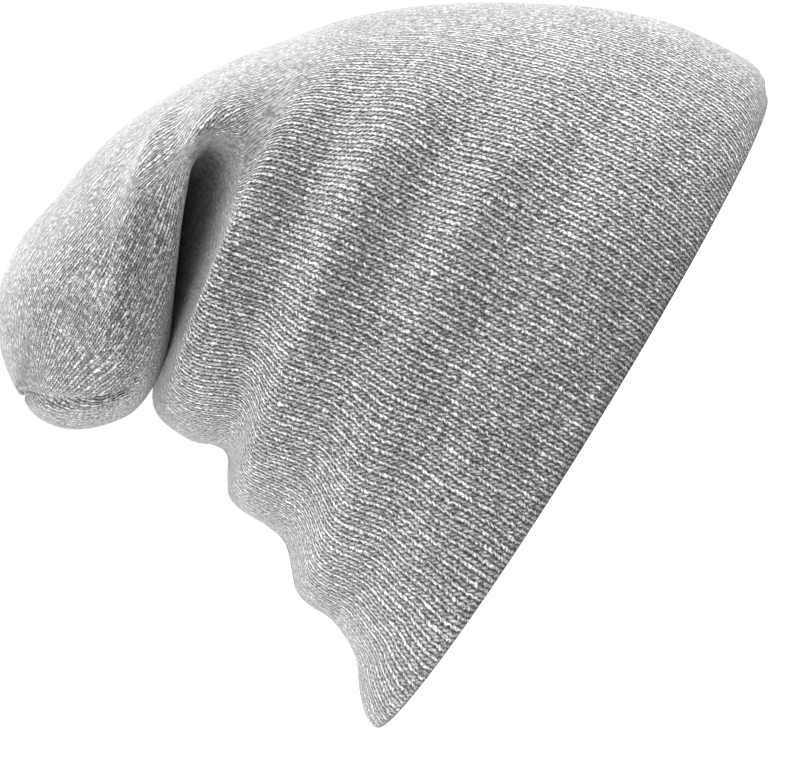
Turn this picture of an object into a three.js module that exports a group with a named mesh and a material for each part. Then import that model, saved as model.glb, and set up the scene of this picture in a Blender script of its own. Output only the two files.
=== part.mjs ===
import * as THREE from "three";

// A slouch beanie knitted in fine jersey, standing on its folded rim as a stuffed hat does.
// Millimetres, +Z up. The forehead faces +X and the floor is z = 0.
// The origin is the middle of the rim, on the floor.

const WALL = 2.4; // two layers of fine jersey
const RIM_WIDTH = 3.9; // the folded edge is fatter than the wall
const RIM_FLAT_FROM = 1.1; // the flat of the rim, measured in from its outer edge
const RIM_FLAT_TO = 3.0;
const HEM_WALL = 1.2; // one turned-up layer
const GAP = 0.3;
const FURROW_DEPTH = 1.3; // the linking seam pulls a furrow into the crown
const FURROW_REACH = 3.2;
const FURROW_START = 6;
const SEAM_WIDTH = 2;
const SEAM_HEIGHT = 1.4;
const DRIFT = 14; // at the sides a fold lies this much higher than at the nape
const FAR_SIDE_FOLDS = 0.85; // the far side's folds are a little shallower
const EGG = 0.04; // each section is wider behind than in front

const COLUMNS = 48;
const LONGEST_STEP = 9.5;
const PROBE = 0.5;
const TURN = 2 * Math.PI;

// One row for each section of the tube of cloth, from the rim to the tip of the crown.
// A section is a closed curve that stands across the hat: its front and back points lie in the
// middle plane, at [x, z]; half is its half width; square is its roundness, 2 for an ellipse;
// skew turns the knitted ribs toward the back, in degrees; bow arches the back of the section;
// lobe and fold are the heights of the gathers at the nape and along the sides.
const COLUMN_NAMES = [
  "frontX", "frontZ", "backX", "backZ", "half", "square", "skew", "bow", "lobe", "fold",
];
const SECTIONS = [
  [100, 0, -105, 0, 82.5, 2, 0, 0, 0, 0],
  [103, 3.5, -103.5, 4, 83, 2, 0, 0, 0, 0.3],
  [104.6, 7.5, -99.5, 8, 83, 2.05, 0, 0, 0.2, 0.6],
  [104.2, 20, -91.5, 14, 84, 2.1, 0, 0, 0.6, 1],
  [102, 34, -87.5, 24.5, 84.5, 2.15, 0, 0, -1.3, -1.2],
  [95.5, 51.5, -82.5, 37, 84.5, 2.2, 0, 0, 2.2, 1.6],
  [86.5, 68.5, -76.5, 50, 84, 2.25, 0, 0, -3, -2.2],
  [78, 82.5, -69.5, 66, 83, 2.3, 0, 0, 2.8, 2.2],
  [67, 97.5, -64.5, 76.5, 81.5, 2.35, 0, 0, -3.4, -3],
  [57.5, 108, -62.5, 85.5, 80, 2.4, 0, 0, 1.6, 1.4],
  [49.5, 115, -60.5, 98, 78.5, 2.4, 0, 1, 0, 0.5],
  [44, 119, -43.5, 101, 77, 2.35, 0, 5, 0, 0],
  [39, 123, -23.5, 105, 75.5, 2.25, 1, 9.5, 0, 0],
  [34.5, 126.5, -8, 108.5, 74.5, 2.15, 3, 14, 0, 0],
  [31, 129, -0.5, 113, 74, 2.1, 5, 14, 0, 0],
  [25.5, 132.5, -0.5, 118.5, 74, 2.1, 7, 13.5, 0, 0],
  [20.5, 135.5, -7.5, 119.5, 74.5, 2.15, 10, 11.5, 0, 0],
  [14.5, 138.5, -19.5, 114, 75, 2.25, 14, 7.5, 0, 0],
  [7.5, 142, -33, 107, 75.5, 2.35, 18, 4, 0, 0],
  [-2.5, 146, -46, 102, 75, 2.4, 23, 1.5, 0, 0],
  [-15, 149, -57.5, 101.5, 73.5, 2.4, 30, 0, 0, 0],
  [-28, 151, -65.5, 102.5, 70.5, 2.35, 32, 0, 0, 0],
  [-40, 153, -70.5, 105.5, 65.5, 2.35, 27, 0, 0, 0],
  [-50, 152.5, -74.5, 109, 58.5, 2.3, 22.5, 0, 0, 0],
  [-60, 149.5, -78, 113.5, 48.5, 2.25, 17, 0, 0, 0],
  [-68.5, 143.5, -80, 118.5, 36, 2.2, 7, 0, 0, 0],
  [-74, 137.5, -80.5, 124, 20.5, 2.1, 0, 0, 0, 0],
  [-78.5, 130.5, -78.5, 130, 1, 2, -2, 0, 0, 0],
];
const RIM_SECTION = 1; // the wall starts here, above the folded edge
const HEM_BOTTOM_SECTION = 2;
const HEM_TOP_SECTION = 5;
const DART_SECTION = 20; // the dart at each side of the crown starts here
const BOW_DIRECTION = new THREE.Vector3(-0.53, 0, 0.85);

const clamp = (value, low, high) => Math.min(high, Math.max(low, value));
const radians = (degrees) => (degrees * Math.PI) / 180;

function smoothStep(value) {
  const t = clamp(value, 0, 1);
  return t * t * (3 - 2 * t);
}

function signedPower(value, power) {
  return Math.sign(value) * Math.abs(value) ** power;
}

// How far each section lies from the rim, measured along the cloth.
function sectionPlaces() {
  const places = [0];
  for (let i = 1; i < SECTIONS.length; i += 1) {
    const [ax, az, bx, bz, half] = SECTIONS[i - 1];
    const [cx, cz, dx, dz, nextHalf] = SECTIONS[i];
    const front = Math.hypot(cx - ax, cz - az);
    const back = Math.hypot(dx - bx, dz - bz);
    const side = Math.hypot((cx + dx - ax - bx) / 2, (cz + dz - az - bz) / 2, nextHalf - half);
    places.push(places[i - 1] + (front + back + 2 * side) / 4);
  }
  return places;
}

const PLACES = sectionPlaces();
const LAST = PLACES.length - 1;
const TIP = PLACES[LAST];

// The slope of one column of the table at one section.
function slopeAt(i, column) {
  const rise = (k) => (SECTIONS[k + 1][column] - SECTIONS[k][column]) / (PLACES[k + 1] - PLACES[k]);
  if (i === 0) return rise(0);
  if (i === LAST) return rise(LAST - 1);
  const before = PLACES[i] - PLACES[i - 1];
  const after = PLACES[i + 1] - PLACES[i];
  return (rise(i - 1) * after + rise(i) * before) / (before + after);
}

// A section at any place between the rim and the tip, on smooth curves through the table.
function sectionAt(place) {
  const s = clamp(place, 0, TIP);
  let i = 0;
  while (i < LAST - 1 && PLACES[i + 1] <= s) i += 1;
  const step = PLACES[i + 1] - PLACES[i];
  const t = (s - PLACES[i]) / step;
  const weightStart = 2 * t ** 3 - 3 * t ** 2 + 1;
  const slopeStart = (t ** 3 - 2 * t ** 2 + t) * step;
  const slopeEnd = (t ** 3 - t ** 2) * step;
  const section = {};
  COLUMN_NAMES.forEach((name, column) => {
    section[name] =
      weightStart * SECTIONS[i][column] +
      (1 - weightStart) * SECTIONS[i + 1][column] +
      slopeStart * slopeAt(i, column) +
      slopeEnd * slopeAt(i + 1, column);
  });
  return section;
}

// The columns of the mesh stand closer together beside the seam and in the middle plane.
const CROWDING = 0.45;
const THETAS = Array.from({ length: COLUMNS }, (_, j) => {
  const even = (j * TURN) / COLUMNS;
  return even - (CROWDING * Math.sin(4 * even)) / 4;
});

// The superellipse's own angle at each share of its length, found by walking round it.
function anglesByLength(long, half, power, shares) {
  const STEPS = 360;
  const lengths = [0];
  let [oldX, oldY] = [long, 0];
  for (let k = 1; k <= STEPS; k += 1) {
    const angle = (k * TURN) / STEPS;
    const x = long * signedPower(Math.cos(angle), power);
    const y = half * signedPower(Math.sin(angle), power);
    lengths.push(lengths[k - 1] + Math.hypot(x - oldX, y - oldY));
    [oldX, oldY] = [x, y];
  }
  const total = lengths[STEPS];
  return shares.map((share) => {
    const wanted = share * total;
    let k = 0;
    while (k < STEPS - 1 && lengths[k + 1] < wanted) k += 1;
    const part = (wanted - lengths[k]) / (lengths[k + 1] - lengths[k]);
    return ((k + part) * TURN) / STEPS;
  });
}

// The share of the way round a section at which a rib lies, for a skew in radians.
function shareAt(theta, skew) {
  return (theta + skew * (Math.sin(theta) - 0.1 * Math.sin(3 * theta))) / TURN;
}

// The plain ring at one place, before its folds.
function plainRing(place) {
  const section = sectionAt(place);
  const front = new THREE.Vector3(section.frontX, 0, section.frontZ);
  const back = new THREE.Vector3(section.backX, 0, section.backZ);
  const middle = front.clone().add(back).multiplyScalar(0.5);
  const forward = front.clone().sub(middle);
  const long = Math.max(forward.length(), 0.05);
  const half = Math.max(section.half, 0.05);
  const power = 2 / section.square;
  const skew = radians(section.skew);
  const shares = THETAS.map((theta) => shareAt(theta, skew));
  const angles = anglesByLength(long, half, power, shares);
  const points = angles.map((angle) => {
    const along = signedPower(Math.cos(angle), power);
    const across = signedPower(Math.sin(angle), power);
    const arch = section.bow * ((1 - along) / 2) ** 1.5 * (1 - across ** 2);
    const point = middle.clone().addScaledVector(forward, along);
    point.y = -half * across * (1 - EGG * along);
    return point.addScaledVector(BOW_DIRECTION, arch);
  });
  return { points, angles };
}

// The direction out of the cloth at each point of a ring, from the rings beside it.
function outward(points, before, after) {
  return points.map((_, j) => {
    const round = points[(j + 1) % COLUMNS].clone().sub(points[(j + COLUMNS - 1) % COLUMNS]);
    const up = after[j].clone().sub(before[j]);
    return up.cross(round).normalize();
  });
}

// The height of the folds, over the plain ring, at one column.
function foldHeight(place, angle) {
  const isFar = angle > Math.PI;
  const fromFront = isFar ? TURN - angle : angle;
  const atBack = smoothStep((fromFront - radians(95)) / radians(60));
  const atSide = smoothStep((fromFront - radians(15)) / radians(55)) * (1 - atBack);
  const section = sectionAt(place - DRIFT * Math.sin(angle) ** 2);
  const height = section.lobe * atBack + section.fold * atSide;
  return isFar ? height * FAR_SIDE_FOLDS : height;
}

// The depth of the furrow that the crown's seam pulls, at one column of a ring.
function furrowDepth(place, theta, roundLength) {
  const skew = radians(sectionAt(place).skew);
  const dart = theta < Math.PI ? TURN / 4 : (3 * TURN) / 4;
  const distance = (shareAt(theta, skew) - shareAt(dart, skew)) * roundLength;
  const started = smoothStep((place - PLACES[DART_SECTION]) / FURROW_START);
  return FURROW_DEPTH * started * Math.exp(-((distance / FURROW_REACH) ** 2));
}

// The outer face of the cloth at one place, with folds and furrows.
function clothRing(place) {
  const { points, angles } = plainRing(place);
  const directions = outward(
    points,
    plainRing(Math.max(place - PROBE, 0)).points,
    plainRing(Math.min(place + PROBE, TIP)).points,
  );
  const roundLength = points.reduce(
    (sum, point, j) => sum + point.distanceTo(points[(j + 1) % COLUMNS]),
    0,
  );
  return points.map((point, j) => {
    const height = foldHeight(place, angles[j]) - furrowDepth(place, THETAS[j], roundLength);
    return point.clone().addScaledVector(directions[j], height);
  });
}

function clothRow(place) {
  const points = clothRing(place);
  const before = clothRing(Math.max(place - PROBE, 0));
  const after = clothRing(Math.min(place + PROBE, TIP));
  return { points, directions: outward(points, before, after) };
}

// A row's points moved in from the outer face.
function inset(row, depth) {
  return row.points.map((point, j) => point.clone().addScaledVector(row.directions[j], -depth));
}

// The places of the mesh's rows between two sections of the table.
function rowPlaces(first, last) {
  const places = [PLACES[first]];
  for (let i = first; i < last; i += 1) {
    const span = PLACES[i + 1] - PLACES[i];
    const steps = Math.ceil(span / LONGEST_STEP);
    for (let k = 1; k <= steps; k += 1) places.push(PLACES[i] + (span * k) / steps);
  }
  return places;
}

// A closed mesh from rings of points that each go once round, with a lone point at an end.
// A closed band joins its last ring to its first, and its quads are split the other way, so that
// its faces lie along those of the wall that it lines.
function meshFromRings(rings, closed) {
  const positions = [];
  const starts = rings.map((ring) => {
    const start = positions.length / 3;
    ring.forEach((point) => positions.push(point.x, point.y, point.z));
    return start;
  });
  const faces = [];
  const count = closed ? rings.length : rings.length - 1;
  for (let i = 0; i < count; i += 1) {
    const next = (i + 1) % rings.length;
    const [size, nextSize] = [rings[i].length, rings[next].length];
    const sides = Math.max(size, nextSize);
    for (let j = 0; j < sides; j += 1) {
      const k = (j + 1) % sides;
      const [a, b] = [starts[i] + (j % size), starts[i] + (k % size)];
      const [c, d] = [starts[next] + (k % nextSize), starts[next] + (j % nextSize)];
      if (closed) {
        faces.push(a, d, b, b, d, c);
      } else {
        if (size > 1) faces.push(a, c, b);
        if (nextSize > 1) faces.push(a, d, c);
      }
    }
  }
  const geometry = new THREE.BufferGeometry();
  geometry.setAttribute("position", new THREE.Float32BufferAttribute(positions, 3));
  geometry.setIndex(faces);
  return geometry;
}

// Knitted body and crown: outer face, then inner face, joined by the folded rim.
const placesToTip = rowPlaces(RIM_SECTION, LAST).slice(0, -1);
const wallRows = placesToTip.map(clothRow);
const tipRow = clothRow(TIP - PROBE);
const tipDirection = tipRow.directions
  .reduce((sum, direction) => sum.add(direction), new THREE.Vector3())
  .normalize();
const tipPoint = tipRow.points
  .reduce((sum, point) => sum.add(point), new THREE.Vector3())
  .divideScalar(COLUMNS);

// The folded rim is a band of even section that follows the rim's outline on the floor.
function rimRing(depth, height) {
  const outline = plainRing(0).points;
  return outline.map((point, j) => {
    const before = outline[(j + COLUMNS - 1) % COLUMNS];
    const after = outline[(j + 1) % COLUMNS];
    const along = after.clone().sub(before);
    const inward = new THREE.Vector3(along.y, 0, 0).setY(-along.x).normalize();
    const moved = point.clone().addScaledVector(inward, depth);
    return moved.setZ(height);
  });
}

const rimRings = [
  rimRing(RIM_WIDTH, 2.4),
  rimRing(RIM_WIDTH - 0.2, 0.9),
  rimRing(RIM_FLAT_TO, 0),
  rimRing(RIM_FLAT_FROM, 0),
  rimRing(0.3, 0.5),
];
const shellRings = [
  [tipPoint.clone().addScaledVector(tipDirection, -WALL)],
  ...wallRows.map((row) => inset(row, WALL)).reverse(),
  ...rimRings,
  ...wallRows.map((row) => row.points),
  [tipPoint],
];

// Turned-up hem: a thin band just inside the wall.
const hemRows = rowPlaces(HEM_BOTTOM_SECTION, HEM_TOP_SECTION).map(clothRow);
const hemRings = [
  ...hemRows.map((row) => inset(row, WALL + GAP)),
  ...hemRows.map((row) => inset(row, WALL + GAP + HEM_WALL)).reverse(),
];

// The linking seam: a flat cord that lies in its furrow, along points with the directions out.
const SEAM_LIFT = GAP + 0.3 + SEAM_HEIGHT / 2;
const SEAM_SIDES = 8;

function seamRings(path) {
  const rings = path.map(({ point, direction }, i) => {
    const before = path[Math.max(i - 1, 0)].point;
    const after = path[Math.min(i + 1, path.length - 1)].point;
    const along = after.clone().sub(before).normalize();
    const side = along.clone().cross(direction).normalize();
    const isEnd = i === 0 || i === path.length - 1;
    const size = isEnd ? 0.5 : 1;
    const centre = point.clone().addScaledVector(direction, SEAM_LIFT);
    return Array.from({ length: SEAM_SIDES }, (_, k) => {
      const angle = (k * TURN) / SEAM_SIDES;
      return centre
        .clone()
        .addScaledVector(side, (Math.cos(angle) * SEAM_WIDTH * size) / 2)
        .addScaledVector(direction, (Math.sin(angle) * SEAM_HEIGHT * size) / 2);
    });
  });
  const cap = (ring) =>
    ring.reduce((sum, point) => sum.add(point), new THREE.Vector3()).divideScalar(SEAM_SIDES);
  return [[cap(rings[0])], ...rings, [cap(rings[rings.length - 1])]];
}

const SEAM_START = PLACES[DART_SECTION] + 5;
const seamRows = placesToTip.map((place, i) => ({ place, ...wallRows[i] })).filter(
  (row) => row.place > SEAM_START,
);
const seamPath = (column) =>
  seamRows.map((row) => ({ point: row.points[column], direction: row.directions[column] }));

const NEAR = COLUMNS / 4;
const FAR = (3 * COLUMNS) / 4;
const acrossPath = [
  ...seamPath(NEAR),
  { point: tipPoint, direction: tipDirection },
  ...seamPath(FAR).reverse(),
];

const knit = new THREE.MeshStandardMaterial({ color: 0xb9b9b8, roughness: 0.95, metalness: 0 });
const seamYarn = new THREE.MeshStandardMaterial({ color: 0xa6a6a5, roughness: 0.95, metalness: 0 });

function part(name, rings, closed, material) {
  const mesh = new THREE.Mesh(meshFromRings(rings, closed), material);
  mesh.name = name;
  return mesh;
}

const beanie = new THREE.Group();
beanie.add(part("knit_shell", shellRings, false, knit));
beanie.add(part("turned_hem", hemRings, true, knit));
beanie.add(part("crown_seam_across", seamRings(acrossPath), false, seamYarn));

export default beanie;
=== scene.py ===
import math

import bpy
import numpy as np
from mathutils import Matrix, Vector


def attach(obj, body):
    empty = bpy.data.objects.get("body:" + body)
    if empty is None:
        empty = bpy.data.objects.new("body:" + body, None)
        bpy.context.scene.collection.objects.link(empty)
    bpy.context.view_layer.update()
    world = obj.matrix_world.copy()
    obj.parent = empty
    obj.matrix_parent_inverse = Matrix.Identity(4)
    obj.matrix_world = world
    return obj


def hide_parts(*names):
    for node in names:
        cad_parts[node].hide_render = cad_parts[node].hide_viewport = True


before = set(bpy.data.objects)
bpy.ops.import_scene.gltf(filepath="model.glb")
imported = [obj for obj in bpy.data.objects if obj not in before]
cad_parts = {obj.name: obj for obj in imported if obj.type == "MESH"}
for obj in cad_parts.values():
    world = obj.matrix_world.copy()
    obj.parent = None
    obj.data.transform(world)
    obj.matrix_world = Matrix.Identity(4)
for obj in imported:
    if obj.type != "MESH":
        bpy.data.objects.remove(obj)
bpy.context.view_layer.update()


# Knitted body and crown: one tube of fine jersey, folded double at the rim, gathered at the nape
# and pulled back into a pouch. It is laid out here in millimetres, section by section from the
# rim to the tip of the crown, and its stitches lie on it in wales (columns) and courses (rows).
MM = 0.001
TURN = 2 * math.pi
WALL = 2.4

# Front point x, z and back point x, z in the middle plane; half width; squareness (2 is an
# ellipse); skew of the wales toward the back in degrees; bow of the back of the section; height
# of the gathers at the nape; height of the folds along the sides.
SECTIONS = np.array(
    [
        [100, 0, -105, 0, 82.5, 2, 0, 0, 0, 0],
        [103, 3.5, -103.5, 4, 83, 2, 0, 0, 0, 0.3],
        [104.6, 7.5, -99.5, 8, 83, 2.05, 0, 0, 0.2, 0.6],
        [104.2, 20, -91.5, 14, 84, 2.1, 0, 0, 0.6, 1],
        [102, 34, -87.5, 24.5, 84.5, 2.15, 0, 0, -1.3, -1.2],
        [95.5, 51.5, -82.5, 37, 84.5, 2.2, 0, 0, 2.2, 1.6],
        [86.5, 68.5, -76.5, 50, 84, 2.25, 0, 0, -3, -2.2],
        [78, 82.5, -69.5, 66, 83, 2.3, 0, 0, 2.8, 2.2],
        [67, 97.5, -64.5, 76.5, 81.5, 2.35, 0, 0, -3.4, -3],
        [57.5, 108, -62.5, 85.5, 80, 2.4, 0, 0, 1.6, 1.4],
        [49.5, 115, -60.5, 98, 78.5, 2.4, 0, 1, 0, 0.5],
        [44, 119, -43.5, 101, 77, 2.35, 0, 5, 0, 0],
        [39, 123, -23.5, 105, 75.5, 2.25, 1, 9.5, 0, 0],
        [34.5, 126.5, -8, 108.5, 74.5, 2.15, 3, 14, 0, 0],
        [31, 129, -0.5, 113, 74, 2.1, 5, 14, 0, 0],
        [25.5, 132.5, -0.5, 118.5, 74, 2.1, 7, 13.5, 0, 0],
        [20.5, 135.5, -7.5, 119.5, 74.5, 2.15, 10, 11.5, 0, 0],
        [14.5, 138.5, -19.5, 114, 75, 2.25, 14, 7.5, 0, 0],
        [7.5, 142, -33, 107, 75.5, 2.35, 18, 4, 0, 0],
        [-2.5, 146, -46, 102, 75, 2.4, 23, 1.5, 0, 0],
        [-15, 149, -57.5, 101.5, 73.5, 2.4, 30, 0, 0, 0],
        [-28, 151, -65.5, 102.5, 70.5, 2.35, 32, 0, 0, 0],
        [-40, 153, -70.5, 105.5, 65.5, 2.35, 27, 0, 0, 0],
        [-50, 152.5, -74.5, 109, 58.5, 2.3, 22.5, 0, 0, 0],
        [-60, 149.5, -78, 113.5, 48.5, 2.25, 17, 0, 0, 0],
        [-68.5, 143.5, -80, 118.5, 36, 2.2, 7, 0, 0, 0],
        [-74, 137.5, -80.5, 124, 20.5, 2.1, 0, 0, 0, 0],
        [-78.5, 130.5, -78.5, 130, 1, 2, -2, 0, 0, 0],
    ]
)


def lengths_between(points):
    return np.linalg.norm(np.diff(points, axis=0), axis=-1)


def section_places():
    """How far along the cloth each section lies, in millimetres from the rim's edge."""
    front, back = SECTIONS[:, :2], SECTIONS[:, 2:4]
    side = np.column_stack([(front + back) / 2, SECTIONS[:, 4]])
    steps = (lengths_between(front) + lengths_between(back) + 2 * lengths_between(side)) / 4
    return np.concatenate([[0], np.cumsum(steps)])


PLACES = section_places()
TIP = PLACES[-1]
SLOT_BOTTOM = PLACES[15]  # the slot between the nape and the pouch is deepest here
DART_START = PLACES[20]


def sections_at(places):
    """The table's values at any places, on smooth curves through its rows."""
    spans = np.diff(PLACES)[:, None]
    rises = np.diff(SECTIONS, axis=0) / spans
    slopes = np.empty_like(SECTIONS)
    slopes[0], slopes[-1] = rises[0], rises[-1]
    slopes[1:-1] = (rises[:-1] * spans[1:] + rises[1:] * spans[:-1]) / (spans[1:] + spans[:-1])
    places = np.clip(places, 0, TIP)
    i = np.clip(np.searchsorted(PLACES, places, side="right") - 1, 0, len(spans) - 1)
    t = ((places - PLACES[i]) / spans[i, 0])[:, None]
    return (
        (2 * t**3 - 3 * t**2 + 1) * SECTIONS[i]
        + (t**3 - 2 * t**2 + t) * spans[i] * slopes[i]
        + (3 * t**2 - 2 * t**3) * SECTIONS[i + 1]
        + (t**3 - t**2) * spans[i] * slopes[i + 1]
    )


def smooth_step(value):
    value = np.clip(value, 0, 1)
    return value * value * (3 - 2 * value)


def signed_power(value, power):
    return np.sign(value) * np.abs(value) ** power


TOWARD_POUCH = np.array([-0.53, 0.0, 0.85])
BOW_SHAPE = 1.5  # the higher, the closer the bow keeps to the middle of the back
EGG = 0.04  # a section is this share narrower at the forehead, and wider at the nape
SKEW_RIPPLE = 0.1
WALK_POINTS = 1441
THINNEST = 0.05


def plain_rings(places, thetas):
    """The cloth before its folds, one ring a place, and each point's angle on its section."""
    walk = np.linspace(-TURN / 2, TURN / 2, WALK_POINTS)
    points = np.empty((len(places), len(thetas), 3))
    angles = np.empty((len(places), len(thetas)))
    for row, section in enumerate(sections_at(places)):
        front, back = section[:2], section[2:4]
        middle, forward = (front + back) / 2, (front - back) / 2
        long, half = max(np.linalg.norm(forward), THINNEST), max(section[4], THINNEST)
        power = 2 / section[5]
        skew = math.radians(section[6])
        x = long * signed_power(np.cos(walk), power)
        y = half * signed_power(np.sin(walk), power)
        walked = np.concatenate([[0], np.cumsum(np.hypot(np.diff(x), np.diff(y)))])
        turned = thetas + skew * (np.sin(thetas) - SKEW_RIPPLE * np.sin(3 * thetas))
        angle = np.interp((turned / TURN + 0.5) * walked[-1], walked, walk)
        along = signed_power(np.cos(angle), power)
        across = signed_power(np.sin(angle), power)
        bow = section[7] * ((1 - along) / 2) ** BOW_SHAPE * (1 - across**2)
        points[row, :, 0] = middle[0] + forward[0] * along + TOWARD_POUCH[0] * bow
        points[row, :, 1] = -half * across * (1 - EGG * along)
        points[row, :, 2] = middle[1] + forward[1] * along + TOWARD_POUCH[2] * bow
        angles[row] = angle
    return points, angles


def outward(points):
    """The direction out of the cloth at each point of a grid that goes once round."""
    up = np.gradient(points, axis=0)
    round_it = np.roll(points, -1, axis=1) - np.roll(points, 1, axis=1)
    out = np.cross(up, round_it)
    return out / np.maximum(np.linalg.norm(out, axis=2, keepdims=True), 1e-9)


# Folds and gathers: the angles from the forehead over which each grows to its full height, and
# how much further from the rim a fold lies at the sides than at the nape.
SIDE_FOLDS_FROM, SIDE_FOLDS_OVER = math.radians(32), math.radians(50)
GATHERS_FROM, GATHERS_OVER = math.radians(95), math.radians(60)
FOLD_CLIMB = 10.0
FULLER_FOLDS = 1.25
FAR_SIDE_FOLDS = 0.85


def fold_heights(places, angles):
    """The gathers at the nape and the folds along the sides, over the plain cloth."""
    from_front = np.abs(angles)
    at_back = smooth_step((from_front - GATHERS_FROM) / GATHERS_OVER)
    at_side = smooth_step((from_front - SIDE_FOLDS_FROM) / SIDE_FOLDS_OVER) * (1 - at_back)
    nape_places = places[:, None] - FOLD_CLIMB * np.sin(angles) ** 2
    table = sections_at(nape_places.ravel())
    gather = table[:, 8].reshape(angles.shape)
    fold = table[:, 9].reshape(angles.shape)
    height = gather * at_back + fold * at_side * FULLER_FOLDS
    return np.where(angles < 0, height * FAR_SIDE_FOLDS, height)


# The pouch's edge: where it starts, is full and ends; its height; the column that it follows, in
# degrees round from the forehead and per millimetre along; and its half width in degrees.
EDGE_START, EDGE_FULL, EDGE_END, EDGE_FADE = 158.0, 186.0, 236.0, 30.0
EDGE_HEIGHT = 3.6
EDGE_THETA, EDGE_LEAN, EDGE_REACH = 56.0, 0.38, 8.0


def pinched_edge(places, thetas):
    """The soft edge down each side of the pouch, where the flopped crown turns under."""
    grown = smooth_step((places - EDGE_START) / (EDGE_FULL - EDGE_START))
    grown = grown * smooth_step((EDGE_END - places) / EDGE_FADE)
    lies_at = np.radians(EDGE_THETA + EDGE_LEAN * (places - EDGE_FULL))
    away = (np.abs(thetas)[None, :] - lies_at[:, None]) / math.radians(EDGE_REACH)
    return EDGE_HEIGHT * grown[:, None] * np.exp(-(away**2))


def ring_lengths(points):
    """How far each point of a ring is from the forehead's line, along the ring, with a sign."""
    steps = np.linalg.norm(np.roll(points, -1, axis=1) - points, axis=2)
    walked = np.cumsum(steps, axis=1) - steps
    return walked - walked[:, [points.shape[1] // 2]], steps.sum(axis=1)


FURROW_DEPTH, FURROW_REACH, FURROW_START = 2.0, 1.9, 9.0


def cloth(places, thetas):
    """The outer face of the cloth and the directions out of it. Thetas start at the nape."""
    points, angles = plain_rings(places, thetas)
    from_front, total = ring_lengths(points)
    darts = np.searchsorted(thetas, -TURN / 4), np.searchsorted(thetas, TURN / 4)
    nearest = np.min([np.abs(from_front - from_front[:, [dart]]) for dart in darts], axis=0)
    started = smooth_step((places - DART_START) / FURROW_START)[:, None]
    furrow = FURROW_DEPTH * started * np.exp(-((nearest / FURROW_REACH) ** 2))
    heights = fold_heights(places, angles) + pinched_edge(places, thetas) - furrow
    points = points + outward(points) * heights[:, :, None]
    return points, outward(points), from_front, total


# The wales' sweep back over the pouch: where along the cloth it starts, over how far it grows on
# the sides, and over how far it then spreads to the top; how far round from the forehead it
# fades; and its lean from upright in degrees, which is more toward the tip and less where the
# cloth reaches far out toward the pouch.
SWEEP_FROM, SWEEP_OVER, SWEEP_SPREADS_OVER = 100.0, 75.0, 30.0
SWEEP_FADES_FROM, SWEEP_FADES_OVER = math.radians(72), math.radians(40)
SWEEP_ANGLE, SWEEP_DROOP, DROOP_FROM, DROOP_OVER = 72.0, 18.0, 200.0, 50.0
FAR_OUT_FROM, FAR_OUT_OVER, FAR_OUT_LESS = 122.0, 12.0, 24.0
# How fast the wales over the crown ease back to an even pitch, except where they are gathered.
EASING, EASE_FROM, EASE_OVER = 0.05, 95.0, 30.0
GATHERED_FROM, GATHERED_OVER = 50.0, 60.0


def wale_ways(places, points, from_front, thetas):
    """The way that the wales climb at each point: square to the sections, except on the sides of
    the crown ahead of its darts, where they sweep back over the pouch."""
    side = outward(points)[:, :, 1] ** 2
    over = smooth_step((places - SWEEP_FROM) / SWEEP_OVER)[:, None]
    beyond = smooth_step((places - SWEEP_FROM - SWEEP_OVER) / SWEEP_SPREADS_OVER)[:, None]
    ahead = 1 - smooth_step((np.abs(thetas) - SWEEP_FADES_FROM) / SWEEP_FADES_OVER)
    share = over * ahead * (side + (1 - side) * beyond)
    far_out = smooth_step((points @ TOWARD_POUCH - FAR_OUT_FROM) / FAR_OUT_OVER)
    turned = SWEEP_ANGLE + SWEEP_DROOP * smooth_step((places - DROOP_FROM) / DROOP_OVER)[:, None]
    turned = np.radians(turned - FAR_OUT_LESS * far_out)
    sweep = np.stack([-np.sin(turned), 0 * turned, np.cos(turned)], axis=2)
    gathered = smooth_step((np.abs(from_front) - GATHERED_FROM) / GATHERED_OVER)
    gathered = gathered * (places < SLOT_BOTTOM)[:, None]
    easing = EASING * smooth_step((places - EASE_FROM) / EASE_OVER)[:, None] * (1 - gathered)
    return share, sweep, easing


COURSE_PITCH = 1.42
WALE_PITCH_OVER_CROWN = 3.3
LEAST_CLIMB = 0.25  # keeps a wale from lying along its ring
END_COLUMNS = 5  # the counts past a ring's ends follow the slope over this many columns


def carried_counts(points, from_front, ways, wales, courses, first):
    """Wale and course counts carried up from ring to ring along the wales."""
    share, sweep, easing = ways
    later, sooner = [END_COLUMNS, -1], [0, -1 - END_COLUMNS]
    wale, course = np.zeros(from_front.shape), np.zeros(from_front.shape)
    wale[: first + 1], course[: first + 1] = wales, courses
    for row in range(first + 1, len(points)):
        step = points[row] - points[row - 1]
        along = np.roll(points[row], -1, axis=0) - np.roll(points[row], 1, axis=0)
        along /= np.linalg.norm(along, axis=1, keepdims=True)
        drift = (step * along).sum(axis=1)
        across = step - along * drift[:, None]
        rise = np.maximum(np.linalg.norm(across, axis=1), 1e-6)
        lean_along = share[row] * (along * sweep[row]).sum(axis=1)
        lean_across = share[row] * (across * sweep[row]).sum(axis=1) / rise + 1 - share[row]
        lean = lean_along / np.maximum(lean_across, LEAST_CLIMB)
        foot = from_front[row - 1] + drift - rise * lean
        known = from_front[row - 1]
        for counts, grown in ((wale, 0), (course, rise * np.hypot(1, lean) / COURSE_PITCH)):
            below = counts[row - 1]
            slopes = (below[later] - below[sooner]) / (known[later] - known[sooner])
            past = np.minimum(foot - known[0], 0) * slopes[0]
            past = past + np.maximum(foot - known[-1], 0) * slopes[1]
            counts[row] = np.interp(foot, known, below) + past + grown
        wale[row] += easing[row] * (from_front[row] / WALE_PITCH_OVER_CROWN - wale[row])
    return wale, course


WALES_ROUND = 184
WIDER_AT_NAPE = 0.9
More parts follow.
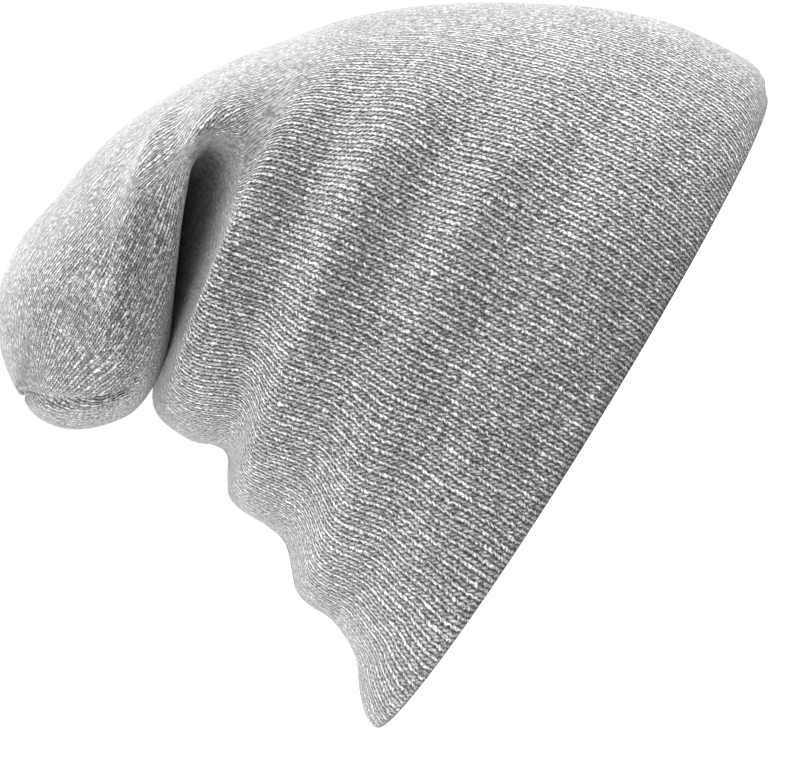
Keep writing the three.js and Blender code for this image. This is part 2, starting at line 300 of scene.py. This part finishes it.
# At the slot's bottom, counts this near to the forehead's line are carried on. The hidden ones
# beyond start anew at this pitch.
KEPT_IN_SLOT, WALE_PITCH_IN_SLOT = 85.0, 2.2
WALE_PITCH_BEHIND_DARTS = 2.9


def stitch_counts(places, points, from_front, total, thetas):
    """Which wale and which course lies at each point: first as the body and the front of the
    crown count them, then as the back of the crown does, between its darts."""
    share, sweep, easing = ways = wale_ways(places, points, from_front, thetas)
    widths = 1 + WIDER_AT_NAPE * np.maximum(-np.cos(thetas), 0) ** 2
    even = np.cumsum(1 / widths) - 0.5 / widths
    even = (even - even[len(thetas) // 2]) * WALES_ROUND / (1 / widths).sum()
    wale, course = carried_counts(points, from_front, ways, even, 0, 0)
    deep = np.searchsorted(places, SLOT_BOTTOM)
    if deep < len(places):
        known, reach = from_front[deep], np.abs(from_front[deep])
        edge = np.interp([-KEPT_IN_SLOT, KEPT_IN_SLOT], known, wale[deep])
        hidden = (reach - KEPT_IN_SLOT) / WALE_PITCH_IN_SLOT
        fresh = np.where(known < 0, edge[0] - hidden, edge[1] + hidden)
        wale[deep] = np.where(reach > KEPT_IN_SLOT, fresh, wale[deep])
        so_far = wale[: deep + 1], course[: deep + 1]
        wale, course = carried_counts(points, from_front, ways, *so_far, deep)
    start = min(np.searchsorted(places, DART_START), len(places) - 1)
    behind = wale[: start + 1].copy()
    behind[start] = np.abs(from_front[start]) - total[start] / 2
    behind[start] /= WALE_PITCH_BEHIND_DARTS
    straight_up = share * 0, sweep, easing * 0
    behind = carried_counts(points, from_front, straight_up, behind, course[: start + 1], start)
    return np.stack([wale, course], axis=2), np.stack(behind, axis=2)


def corner_stitches(places, thetas, front, back):
    """Stitch counts at the left and right corners of each face column, so that they can break
    at the darts and down the middle of the nape."""
    sides = []
    middle = (np.abs(thetas + TURN / len(thetas) / 2) > TURN / 4)[None, :, None]
    in_crown = (np.arange(len(places)) >= np.searchsorted(places, DART_START))[:, None, None]
    for shift in (0, -1):
        ahead, behind = np.roll(front, shift, axis=1), np.roll(back, shift, axis=1)
        if shift:
            ahead[:, -1, 0] *= -1
            behind[:, -1, 0] *= -1
        sides.append(np.where(in_crown & middle, behind, ahead))
    return np.stack(sides, axis=2)


def ring_thetas(count):
    """Even columns round the hat, from the nape past the far side, forehead and near side."""
    return (np.arange(count) / count - 0.5) * TURN


def new_piece(name, mesh, material):
    mesh.polygons.foreach_set("use_smooth", [True] * len(mesh.polygons))
    mesh.materials.append(material)
    piece = bpy.data.objects.new(name, mesh)
    bpy.context.scene.collection.objects.link(piece)
    return piece


def sew_rings(name, rings, stitches, bake_rows, material, closed=False):
    """A mesh from rings that each go once round, a lone point at an end, with two maps: the
    stitches, and one flat layout of the whole piece."""
    starts = np.concatenate([[0], np.cumsum([len(ring) for ring in rings])])
    faces, knit_map, flat_map = [], [], []
    for i in range(len(rings) if closed else len(rings) - 1):
        k = (i + 1) % len(rings)
        low, high = len(rings[i]), len(rings[k])
        sides, low_row, high_row = max(low, high), bake_rows[i], bake_rows[i + 1]
        for j in range(sides):
            a, b = j * low // sides, (j + 1) * low // sides
            d, c = j * high // sides, (j + 1) * high // sides
            left, right = j / sides, (j + 1) / sides
            corners = [(i, a % low, left, low_row), (i, b % low, right, low_row)]
            corners += [(k, c % high, right, high_row), (k, d % high, left, high_row)]
            if low == 1 or a == b:
                corners = [corners[0], corners[2], corners[3]]
            elif high == 1 or c == d:
                corners = corners[:3]
            faces.append([starts[ring] + n for ring, n, _, _ in corners])
            for ring, n, across, row in corners:
                count = len(stitches[ring])
                column = min(int((j + 0.5) * count / sides), count - 1)
                reach = across * count - column
                pair = stitches[ring][column]
                knit_map.append(pair[0] + (pair[1] - pair[0]) * min(max(reach, 0), 1))
                flat_map.append((across, row))
    mesh = bpy.data.meshes.new(name)
    mesh.from_pydata((np.concatenate(rings) * MM).tolist(), [], faces)
    for layer, values in (("Knit", knit_map), ("OFBake", flat_map)):
        uv = mesh.uv_layers.new(name=layer)
        uv.data.foreach_set("uv", np.array(values, dtype=np.float32).ravel())
    mesh.uv_layers.active = mesh.uv_layers["Knit"]
    return new_piece(name, mesh, material)


class Yarn:
    """A socket in a material. Sums on it add Math nodes, and node() adds any other node."""

    def __init__(self, tree, socket=None):
        self.tree, self.socket = tree, socket

    def node(self, kind, settings, inputs, output=0):
        made = self.tree.nodes.new(kind)
        for name, value in settings.items():
            setattr(made, name, value)
        for name, value in inputs.items():
            if isinstance(value, Yarn):
                self.tree.links.new(value.socket, made.inputs[name])
            else:
                made.inputs[name].default_value = value
        return Yarn(self.tree, made.outputs[output] if made.outputs else None)

    def math(self, operation, *values, clamp=False):
        settings = {"operation": operation, "use_clamp": clamp}
        return self.node("ShaderNodeMath", settings, dict(enumerate(values)))

    def __add__(self, other):
        return self.math("ADD", self, other)

    __radd__ = __add__

    def __sub__(self, other):
        return self.math("SUBTRACT", self, other)

    def __rsub__(self, other):
        return self.math("SUBTRACT", other, self)

    def __mul__(self, other):
        return self.math("MULTIPLY", self, other)

    __rmul__ = __mul__

    def __truediv__(self, other):
        return self.math("DIVIDE", self, other)

    def __pow__(self, other):
        return self.math("POWER", self, other)

    def __abs__(self):
        return self.math("ABSOLUTE", self)

    def fraction(self):
        return self.math("FRACT", self)

    def kept_in_range(self):
        return self.math("ADD", self, 0.0, clamp=True)

    def mixed(self, share, low, high, **settings):
        """A colour between two, or one laid on the other in the blend type given."""
        settings["data_type"] = "RGBA"
        return self.node("ShaderNodeMix", settings, {0: share, 6: low, 7: high}, 2)


def new_yarn(name):
    """An empty material, and the Yarn that builds it."""
    material = bpy.data.materials.new(name)
    material.use_nodes = True
    material.node_tree.nodes.clear()
    return material, Yarn(material.node_tree)


# Noise on the stitch map: its changes per wale and per course, its detail and its seed.
YARN_NOISE = {
    "wander": (0.35, 0.12, 2.0, 3.0),
    "jitter": (1.6, 0.8, 2.0, 7.0),
    "fibres": (4.6, 1.7, 3.0, 11.0),
    "flecks": (1.5, 0.6, 2.0, 17.0),
    "patches": (0.12, 0.06, 2.0, 23.0),
}
# How far the noise pushes a stitch, in wales across and in courses along.
WANDER_ACROSS, WANDER_ALONG, JITTER_ACROSS, JITTER_ALONG = 0.5, 2.2, 0.55, 1.3
# A leg of a stitch: how far it drops from the wale's middle, where its centre line lies and how
# that opens along the stitch, its half width, the height of its ends, and its twist. The twist
# stands one leg higher than the other and, through the painted pit shade, paints that leg lighter:
# a painted highlight on the leg that faces the light.
LEG_DROP, LEG_ASIDE, LEG_OPENS, LEG_HALF, LEG_ENDS, LEG_TWIST_AND_HIGHLIGHT = 0.9, 0.19, 0.13, 0.2, 0.4, 0.42
# Painted shade in the pits between the legs: the darkest share of the colour there, and how fast it
# lightens up the legs.
PIT_PAINTED_SHADE, PIT_POWER = 0.08, 1.1
FIBRES, FLECKS, PATCHES, MOTTLE, MIDDLE_GREY = 1.9, 1.0, 0.4, 2.2, 0.4
MOTTLE_SCALE = 800.0
FUZZ = 0.3
# The slack crown, from this course on over so many, is more mottled and painted a little darker, a
# painted shade that holds down the light on it.
SLACK_FROM, SLACK_OVER, SLACK_MOTTLE, CROWN_PAINTED_SHADE = 98.0, 32.0, 1.2, 0.15


def jersey(name, dark, light, relief):
    """Heather yarn in plain jersey: on each wale two slanting legs a stitch, with painted shade in
    the pit between them and one leg painted lighter than the other, and fibres of several greys
    spun together along the yarn."""
    material, yarn = new_yarn(name)
    stitch_map = yarn.node("ShaderNodeUVMap", {"uv_map": "Knit"}, {})
    wale = yarn.node("ShaderNodeSeparateXYZ", {}, {0: stitch_map}, 0)
    course = yarn.node("ShaderNodeSeparateXYZ", {}, {0: stitch_map}, 1)
    noise = {}
    for kind, (per_wale, per_course, detail, seed) in YARN_NOISE.items():
        spot = {0: wale * per_wale, 1: course * per_course, 2: seed}
        spot = yarn.node("ShaderNodeCombineXYZ", {}, spot)
        inputs = {"Vector": spot, "Scale": 1.0, "Detail": detail, "Roughness": 0.6}
        noise[kind] = yarn.node("ShaderNodeTexNoise", {"noise_dimensions": "3D"}, inputs) - 0.5

    astray = noise["wander"] * WANDER_ACROSS + noise["jitter"] * JITTER_ACROSS
    v = course + noise["wander"] * WANDER_ALONG + noise["jitter"] * JITTER_ALONG
    heights = []
    for u in (wale + astray, wale * 2 + astray):
        across = u.fraction()
        aside = abs(across - 0.5)
        # One leg of each stitch is raised and painted lighter, a painted highlight standing in for
        # light from above.
        twist_and_highlight = yarn.math("SINE", across * TURN) * LEG_TWIST_AND_HIGHLIGHT + 1
        along = (v - aside * LEG_DROP).fraction()
        off_leg = (aside - (along * LEG_OPENS + LEG_ASIDE)) / LEG_HALF
        leg = (1 - off_leg * off_leg).kept_in_range()
        belly = yarn.math("SINE", along * math.pi)
        heights.append(leg * (belly * (1 - LEG_ENDS) + LEG_ENDS) * twist_and_highlight)
    split = yarn.node("ShaderNodeAttribute", {"attribute_name": "wale_split"}, {}, 2)
    height = heights[0] * (1 - split) + heights[1] * split

    place = yarn.node("ShaderNodeTexCoord", {}, {}, 3)
    inputs = {"Vector": place, "Scale": MOTTLE_SCALE, "Detail": 3.0}
    mottle = yarn.node("ShaderNodeTexNoise", {}, inputs) - 0.5
    crown_mottle_and_shade = ((course - SLACK_FROM) / SLACK_OVER).kept_in_range()
    mix = noise["fibres"] * FIBRES + noise["flecks"] * FLECKS + noise["patches"] * PATCHES
    # Over the crown the heather gets more mottle and is painted darker, as painted shade.
    mix = mix + mottle * (crown_mottle_and_shade * SLACK_MOTTLE + MOTTLE) + MIDDLE_GREY - crown_mottle_and_shade * CROWN_PAINTED_SHADE
    heather_with_crown_shade = yarn.mixed(mix.kept_in_range(), (*dark, 1), (*light, 1))
    # Painted shade: the colour darkens toward the pits and ends of each stitch, where shade falls
    # in the knit.
    painted_pit_shade = height.kept_in_range() ** PIT_POWER * (1 - PIT_PAINTED_SHADE) + PIT_PAINTED_SHADE
    painted_pit_shade = yarn.node("ShaderNodeCombineXYZ", {}, {0: painted_pit_shade, 1: painted_pit_shade, 2: painted_pit_shade})
    colour = yarn.mixed(1.0, heather_with_crown_shade, painted_pit_shade, blend_type="MULTIPLY")
    inputs = {"Distance": relief * MM, "Height": height + noise["fibres"] * FUZZ}
    bumped = yarn.node("ShaderNodeBump", {}, {"Strength": 1.0, **inputs})
    inputs = {"Base Color": colour, "Roughness": 0.92, "Specular IOR Level": 0.2}
    inputs |= {"Sheen Weight": 0.5, "Sheen Roughness": 0.4, "Normal": bumped}
    finish = yarn.node("ShaderNodeBsdfPrincipled", {}, inputs)
    yarn.node("ShaderNodeOutputMaterial", {}, {"Surface": finish})
    return material


jersey_knit = jersey("heather_jersey", (0.17, 0.17, 0.168), (0.93, 0.93, 0.925), 0.6)

COLUMNS = 432
ROW_STEP = 1.5
BREAK_WIDTH = 0.02  # where the counts start anew, two rows lie this close
# Where a wale is drawn as two: it is wider than this, it lies past this place on the pouch, and
# the cloth there faces the near or the far side. Each is followed by how far it takes to grow.
SPLIT_WIDTH, SPLIT_OVER = 1.9, 0.6
SPLIT_PLACE, SPLIT_PLACE_OVER = 166.0, 20.0
SPLIT_FACING, SPLIT_FACING_OVER = 0.35, 0.3


def wale_split(places, points, out, corners):
    """How far each wale is drawn as two, from 0 to 1, by its true width on the cloth."""
    passed = corners[:, :, 1, 0] - corners[:, :, 0, 0]
    walked = np.roll(points, -1, axis=1) - points
    risen, climbed = np.diff(corners[:, :, 0, 0], axis=0), np.diff(points, axis=0)
    breaks = np.flatnonzero(np.diff(places) < 2 * BREAK_WIDTH)
    risen[breaks], climbed[breaks] = risen[breaks - 1], climbed[breaks - 1]
    risen, climbed = np.concatenate([risen[:1], risen]), np.concatenate([climbed[:1], climbed])
    square, rise = (walked**2).sum(axis=2), (climbed**2).sum(axis=2)
    skew = (walked * climbed).sum(axis=2)
    slope = rise * passed**2 - 2 * skew * passed * risen + square * risen**2
    width = np.sqrt((square * rise - skew**2) / np.maximum(slope, 1e-9))
    on_pouch = smooth_step((places - SPLIT_PLACE) / SPLIT_PLACE_OVER)[:, None]
    facing = smooth_step((out[:, :, 1] ** 2 - SPLIT_FACING) / SPLIT_FACING_OVER)
    return on_pouch * facing * smooth_step((width - SPLIT_WIDTH) / SPLIT_OVER)


# The rim's fold in section, from inside to outside: depth in from the outline, and height.
RIM_FOLD = [(3.9, 3.4), (3.9, 2.4), (3.75, 1.3), (3.4, 0.5), (2.9, 0.08), (2.3, 0.0), (1.8, 0.0)]
RIM_FOLD += [(1.2, 0.06), (0.7, 0.35), (0.35, 0.9)]
# Round the fold the cloth is this long plus the depth, less the height on the outer side and
# plus it on the inner one, which starts at this depth.
FOLD_LENGTH, FOLD_INNER_SIDE = 4.4, 2.5
FOLD_JOINS, FOLD_JOIN_LENGTH = (0.35, 0.7), 3.0


def ring_ways(ring):
    """The direction along a ring at each of its points."""
    ways = np.roll(ring, -1, axis=0) - np.roll(ring, 1, axis=0)
    return ways / np.linalg.norm(ways, axis=1, keepdims=True)


def rim_fold(first_ring, first_front, first_corners, thetas):
    """The rings round the rim's fold, up to the first ring of the wall, and their stitches."""
    outline = plain_rings(np.array([0.0]), thetas)[0][0]
    inward = ring_ways(outline)[:, [1, 0]] * [1, -1]
    foot = first_front + ((outline - first_ring) * ring_ways(first_ring)).sum(axis=1)
    slid = np.interp(foot, first_front, first_corners[:, 0, 0]) - first_corners[:, 0, 0]
    rim_stitches = first_corners.copy()
    rim_stitches[:, 0, 0] += slid
    rim_stitches[:-1, 1, 0] += slid[1:]
    rings, stitches = [], []
    for depth, height in RIM_FOLD:
        ring = outline.copy()
        ring[:, :2] += inward * depth
        ring[:, 2] = height
        rings.append(ring)
        stitch = rim_stitches.copy()
        climb = height if depth < FOLD_INNER_SIDE else -height
        stitch[:, :, 1] -= (FOLD_LENGTH + depth - climb) / COURSE_PITCH
        stitches.append(stitch)
    last = rings[-1]
    for share in FOLD_JOINS:
        rings.append(last * (1 - share) + first_ring * share)
        stitch = rim_stitches * (1 - share) + first_corners * share
        stitch[:, :, 1] = first_corners[:, :, 1] - (1 - share) * FOLD_JOIN_LENGTH / COURSE_PITCH
        stitches.append(stitch)
    return rings, stitches


INNER_STEP, INNER_COLUMNS = 5.0, 4  # the unseen inner face has fewer rows, and every 4th column
TIP_SPARE, TIP_RISE = 0.6, 0.1
INSIDE_ON_MAP, OUTSIDE_ON_MAP = (0.0, 0.17), (0.175, 1.0)


def cap_rings():
    """The rings of the whole cap with their stitch counts and rows in the flat layout: inside
    from the tip to the rim, round the fold, and outside back to the tip; and its split wales."""
    thetas = ring_thetas(COLUMNS)
    places = np.linspace(PLACES[1], TIP - TIP_SPARE, round((TIP - PLACES[1]) / ROW_STEP))
    breaks = np.array([SLOT_BOTTOM, DART_START])
    places = np.sort(np.concatenate([places, breaks, breaks - BREAK_WIDTH]))
    points, out, from_front, total = cloth(places, thetas)
    counts = stitch_counts(places, points, from_front, total, thetas)
    corners = corner_stitches(places, thetas, *counts)
    fold_rings, fold_stitches = rim_fold(points[0], from_front[0], corners[0], thetas)

    inner = np.linspace(0, len(places) - 1, round(TIP / INNER_STEP)).round().astype(int)
    inside_rings = [(points[i] - out[i] * WALL)[::INNER_COLUMNS] for i in inner]
    inside_stitches = [corners[i, ::INNER_COLUMNS][:, [0, 0]] for i in inner]
    for stitch, i in zip(inside_stitches, inner):
        stitch[:, 1] = corners[i, INNER_COLUMNS - 1 :: INNER_COLUMNS, 1]
    tip = points[-1].mean(axis=0) + out[-1].mean(axis=0) * TIP_RISE
    inside_tip = tip - out[-1].mean(axis=0) * WALL

    rings = [inside_tip[None], *inside_rings[::-1], *fold_rings, *points, tip[None]]
    stitches = [inside_stitches[-1], *inside_stitches[::-1], *fold_stitches, *corners, corners[-1]]
    inside_rows = np.linspace(*INSIDE_ON_MAP, len(inside_rings) + 1)
    outside_rows = np.linspace(*OUTSIDE_ON_MAP, len(fold_rings) + len(points) + 1)
    split = wale_split(places, points, out, corners).ravel()
    before = sum(len(ring) for ring in rings) - len(split) - 1
    split = np.concatenate([np.zeros(before), split, split[-1:]])
    return rings, stitches, [*inside_rows, *outside_rows], split


*cap_parts, cap_split = cap_rings()
knitted_cap = sew_rings("knitted_cap", *cap_parts, jersey_knit)
knitted_cap.data.attributes.new("wale_split", "FLOAT", "POINT").data.foreach_set("value", cap_split)
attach(knitted_cap, "root")
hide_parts("knit_shell")


# Turned-up hem: the tube's first rows, turned up inside the rim and caught down, so that the
# edge is two layers thick. It is the same jersey, and only an upturned hat shows it.
HEM_WALL = 1.2
HEM_LIFT = 0.3
HEM_FROM, HEM_TO = PLACES[2], PLACES[5]
HEM_COLUMNS, HEM_ROWS, HEM_SPARE = 216, 22, 3.0


def hem_rings():
    """The hem's rings, up its outer face and down its inner one, and their stitches. The spare
    row at each end only gives the cloth its slope there."""
    thetas = ring_thetas(HEM_COLUMNS)
    places = np.linspace(HEM_FROM - HEM_SPARE, HEM_TO + HEM_SPARE, HEM_ROWS)
    points, out, from_front, total = cloth(places, thetas)
    counts = stitch_counts(places, points, from_front, total, thetas)
    corners = corner_stitches(places, thetas, *counts)[1:-1]
    points, out = points[1:-1], out[1:-1]
    outer = points - out * (WALL + HEM_LIFT)
    inner = points - out * (WALL + HEM_LIFT + HEM_WALL)
    rows = np.linspace(0, 1, 2 * len(points) + 1)
    return [*outer, *inner[::-1]], [*corners, *corners[::-1]], rows


turned_hem = sew_rings("turned_hem_band", *hem_rings(), jersey_knit, closed=True)
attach(turned_hem, "root")
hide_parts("turned_hem")


# Linked seam across the crown: where the two darts close, the raw stitches are linked together
# loop by loop with one end of the same yarn, which pulls the cloth into a furrow.
LINK_PITCH, LINK_WIDTH = 2.9, 1.3
LINK_BACK, LINK_ON = 0.25, 1.1  # how far a loop reaches behind and past its start, in pitches
LINK_MIDDLE, LINK_FLARE = 0.75, 0.35  # a loop's width at its middle, and how it widens on
LINK_TILT = 0.35
LINK_FLATTENED = 0.6
YARN_THICKNESS = 0.55
SEAM_RISE = 0.15
SEAM_FROM, SEAM_ROWS = DART_START + 5, 90
LOOP_POINTS, YARN_SIDES = 14, 6


def seam_path():
    """Points down the near furrow, over the tip and up the far one, with the way out."""
    thetas = ring_thetas(COLUMNS)
    points, out, _, _ = cloth(np.linspace(SEAM_FROM, TIP - TIP_SPARE, SEAM_ROWS), thetas)
    near, far = 3 * COLUMNS // 4, COLUMNS // 4
    path = np.concatenate([points[:, near], points[::-1, far]])
    ways = np.concatenate([out[:, near], out[::-1, far]])
    return path, ways


def linked_chain(name, material):
    """Loops of yarn along the path, each a slim ring that starts inside the one before."""
    path, ways = seam_path()
    walked = np.concatenate([[0], np.cumsum(lengths_between(path))])

    def met(values, place):
        return np.array([np.interp(place, walked, values[:, n]) for n in range(3)])

    verts, faces = [], []
    for start in np.arange(1.0, walked[-1] - LINK_PITCH, LINK_PITCH):
        first = met(path, start - LINK_BACK * LINK_PITCH)
        last = met(path, start + LINK_ON * LINK_PITCH)
        centre, half = (first + last) / 2, (last - first) / 2
        length = np.linalg.norm(half)
        along = half / length
        side = np.cross(along, met(ways, start + LINK_PITCH / 2))
        side /= np.linalg.norm(side)
        up = np.cross(side, along)
        base = len(verts)
        for i in range(LOOP_POINTS):
            cos, sin = math.cos(TURN * i / LOOP_POINTS), math.sin(TURN * i / LOOP_POINTS)
            spread = LINK_WIDTH / 2 * (LINK_MIDDLE + LINK_FLARE * cos)
            middle = centre + along * length * cos + side * spread * sin
            middle = middle + up * (SEAM_RISE - LINK_TILT * cos)
            out = along * cos * LINK_FLATTENED + side * sin
            out /= np.linalg.norm(out)
            for k in range(YARN_SIDES):
                bend = TURN * k / YARN_SIDES
                offset = out * math.cos(bend) + up * math.sin(bend)
                verts.append(middle + offset * YARN_THICKNESS / 2)
        for i in range(LOOP_POINTS):
            a, b = base + i * YARN_SIDES, base + (i + 1) % LOOP_POINTS * YARN_SIDES
            for k in range(YARN_SIDES):
                n = (k + 1) % YARN_SIDES
                faces.append([a + k, a + n, b + n, b + k])
    mesh = bpy.data.meshes.new(name)
    mesh.from_pydata((np.array(verts) * MM).tolist(), [], faces)
    return new_piece(name, mesh, material)


def linking_yarn(name, dark, light):
    """The same heather yarn seen close: greys that change along the strand, painted far darker than
    the knit's as painted shade at the bottom of the furrow.
    """
    material, yarn = new_yarn(name)
    place = yarn.node("ShaderNodeTexCoord", {}, {}, 3)
    fibres = yarn.node("ShaderNodeTexNoise", {}, {"Vector": place, "Scale": 1500.0, "Detail": 3.0})
    mix = ((fibres - 0.5) * 1.8 + 0.5).kept_in_range()
    colour = yarn.mixed(mix, (*dark, 1), (*light, 1))
    bumped = yarn.node("ShaderNodeBump", {}, {"Distance": 0.15 * MM, "Height": fibres})
    inputs = {"Base Color": colour, "Roughness": 0.92, "Sheen Weight": 0.3, "Normal": bumped}
    finish = yarn.node("ShaderNodeBsdfPrincipled", {}, inputs)
    yarn.node("ShaderNodeOutputMaterial", {}, {"Surface": finish})
    return material


# The seam yarn's greys are painted far darker than the knit's, as painted shade in the furrow.
crown_link = linked_chain("crown_link_chain", linking_yarn("seam_yarn_painted_shade", (0.06,) * 3, (0.34,) * 3))
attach(crown_link, "root")
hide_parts("crown_seam_across")


# Studio: a pale round floor that fades out at its edge, six soft disc lights, an even white
# surround, and the camera at the photograph's angle to the hat, rolled as it is there.
FLOOR_RADIUS, FLOOR_SIDES = 0.9, 96
FLOOR_FADE_END, FLOOR_FADE = 0.95 * FLOOR_RADIUS, 0.6 * FLOOR_RADIUS
FLOOR_SEEN, FLOOR_BOUNCE = (0.9, 0.9, 0.9, 1), (0.4, 0.4, 0.4, 1)


def pale_floor():
    turns = [TURN * i / FLOOR_SIDES for i in range(FLOOR_SIDES)]
    verts = [(0, 0, 0)]
    verts += [(math.cos(t) * FLOOR_RADIUS, math.sin(t) * FLOOR_RADIUS, 0) for t in turns]
    faces = [(0, i + 1, (i + 1) % FLOOR_SIDES + 1) for i in range(FLOOR_SIDES)]
    mesh = bpy.data.meshes.new("studio_floor")
    mesh.from_pydata(verts, [], faces)
    material, yarn = new_yarn("pale_floor")
    place = yarn.node("ShaderNodeTexCoord", {}, {}, 3)
    distance = yarn.node("ShaderNodeVectorMath", {"operation": "LENGTH"}, {0: place}, 1)
    solid = ((FLOOR_FADE_END - distance) / FLOOR_FADE).kept_in_range()
    grain = yarn.node("ShaderNodeTexNoise", {}, {"Vector": place, "Scale": 60.0})
    seen = yarn.node("ShaderNodeLightPath", {}, {}, 0)
    paint = yarn.mixed(seen, FLOOR_BOUNCE, FLOOR_SEEN)
    inputs = {"Base Color": paint, "Roughness": grain * 0.1 + 0.85, "Alpha": solid}
    finish = yarn.node("ShaderNodeBsdfPrincipled", {}, inputs)
    yarn.node("ShaderNodeOutputMaterial", {}, {"Surface": finish})
    return new_piece("studio_floor", mesh, material)


# Each light's place, watts and width, all aimed at the hat's middle.
SOFT_LIGHTS = {
    "forehead_light": ((1.5, 0.0, 0.65), 54.0, 1.0),
    "nape_light": ((-1.3, -0.5, 0.1), 23.0, 0.5),
    "far_light": ((0.9, 1.2, 0.8), 16.0, 1.0),
    "window_light": ((-0.1, -0.8, 1.3), 8.0, 1.0),
    "overhead_light": ((0.15, -0.1, 1.6), 8.0, 1.0),
    "near_light": ((0.3, -1.6, 0.45), 1.5, 1.2),
}
LIGHT_AIM = (0, 0, 0.07)


def look_from(place, aim):
    return (Vector(aim) - Vector(place)).to_track_quat("-Z", "Y")


def soft_light(name, place, watts, width):
    lamp = bpy.data.lights.new(name, "AREA")
    lamp.shape, lamp.size, lamp.energy = "DISK", width, watts
    light = bpy.data.objects.new(name, lamp)
    light.location = place
    light.visible_camera = False
    light.rotation_euler = look_from(place, LIGHT_AIM).to_euler()
    bpy.context.scene.collection.objects.link(light)


GLOW = 1.32


def white_surround():
    """Pure white to the camera, and a little brighter as a light."""
    world = bpy.data.worlds.new("white_surround")
    world.use_nodes = True
    world.node_tree.nodes.clear()
    yarn = Yarn(world.node_tree)
    seen = yarn.node("ShaderNodeLightPath", {}, {}, 0)
    glow = yarn.node("ShaderNodeBackground", {}, {"Color": (1, 1, 1, 1), "Strength": GLOW})
    white = yarn.node("ShaderNodeBackground", {}, {"Color": (1, 1, 1, 1), "Strength": 1.0})
    both = yarn.node("ShaderNodeMixShader", {}, {0: seen, 1: glow, 2: white})
    yarn.node("ShaderNodeOutputWorld", {}, {"Surface": both})
    bpy.context.scene.world = world


CAMERA_PLACE, CAMERA_AIM = (-0.021, -1.6, 0.147), (-0.021, 0.0, 0.044)
CAMERA_ROLL = math.radians(58.3)
CAMERA_LENS = 263.0


def photo_camera():
    data = bpy.data.cameras.new("photo_camera")
    data.lens, data.sensor_width, data.clip_start = CAMERA_LENS, 36.0, 0.05
    camera = bpy.data.objects.new("photo_camera", data)
    level = look_from(CAMERA_PLACE, CAMERA_AIM).to_matrix()
    roll = Matrix.Rotation(-CAMERA_ROLL, 3, "Z")
    camera.matrix_world = Matrix.Translation(CAMERA_PLACE) @ (level @ roll).to_4x4()
    bpy.context.scene.collection.objects.link(camera)
    bpy.context.scene.camera = camera


pale_floor()
for lamp_name, (lamp_place, lamp_watts, lamp_width) in SOFT_LIGHTS.items():
    soft_light(lamp_name, lamp_place, lamp_watts, lamp_width)
white_surround()
photo_camera()
bpy.context.scene.view_settings.view_transform = "Standard"
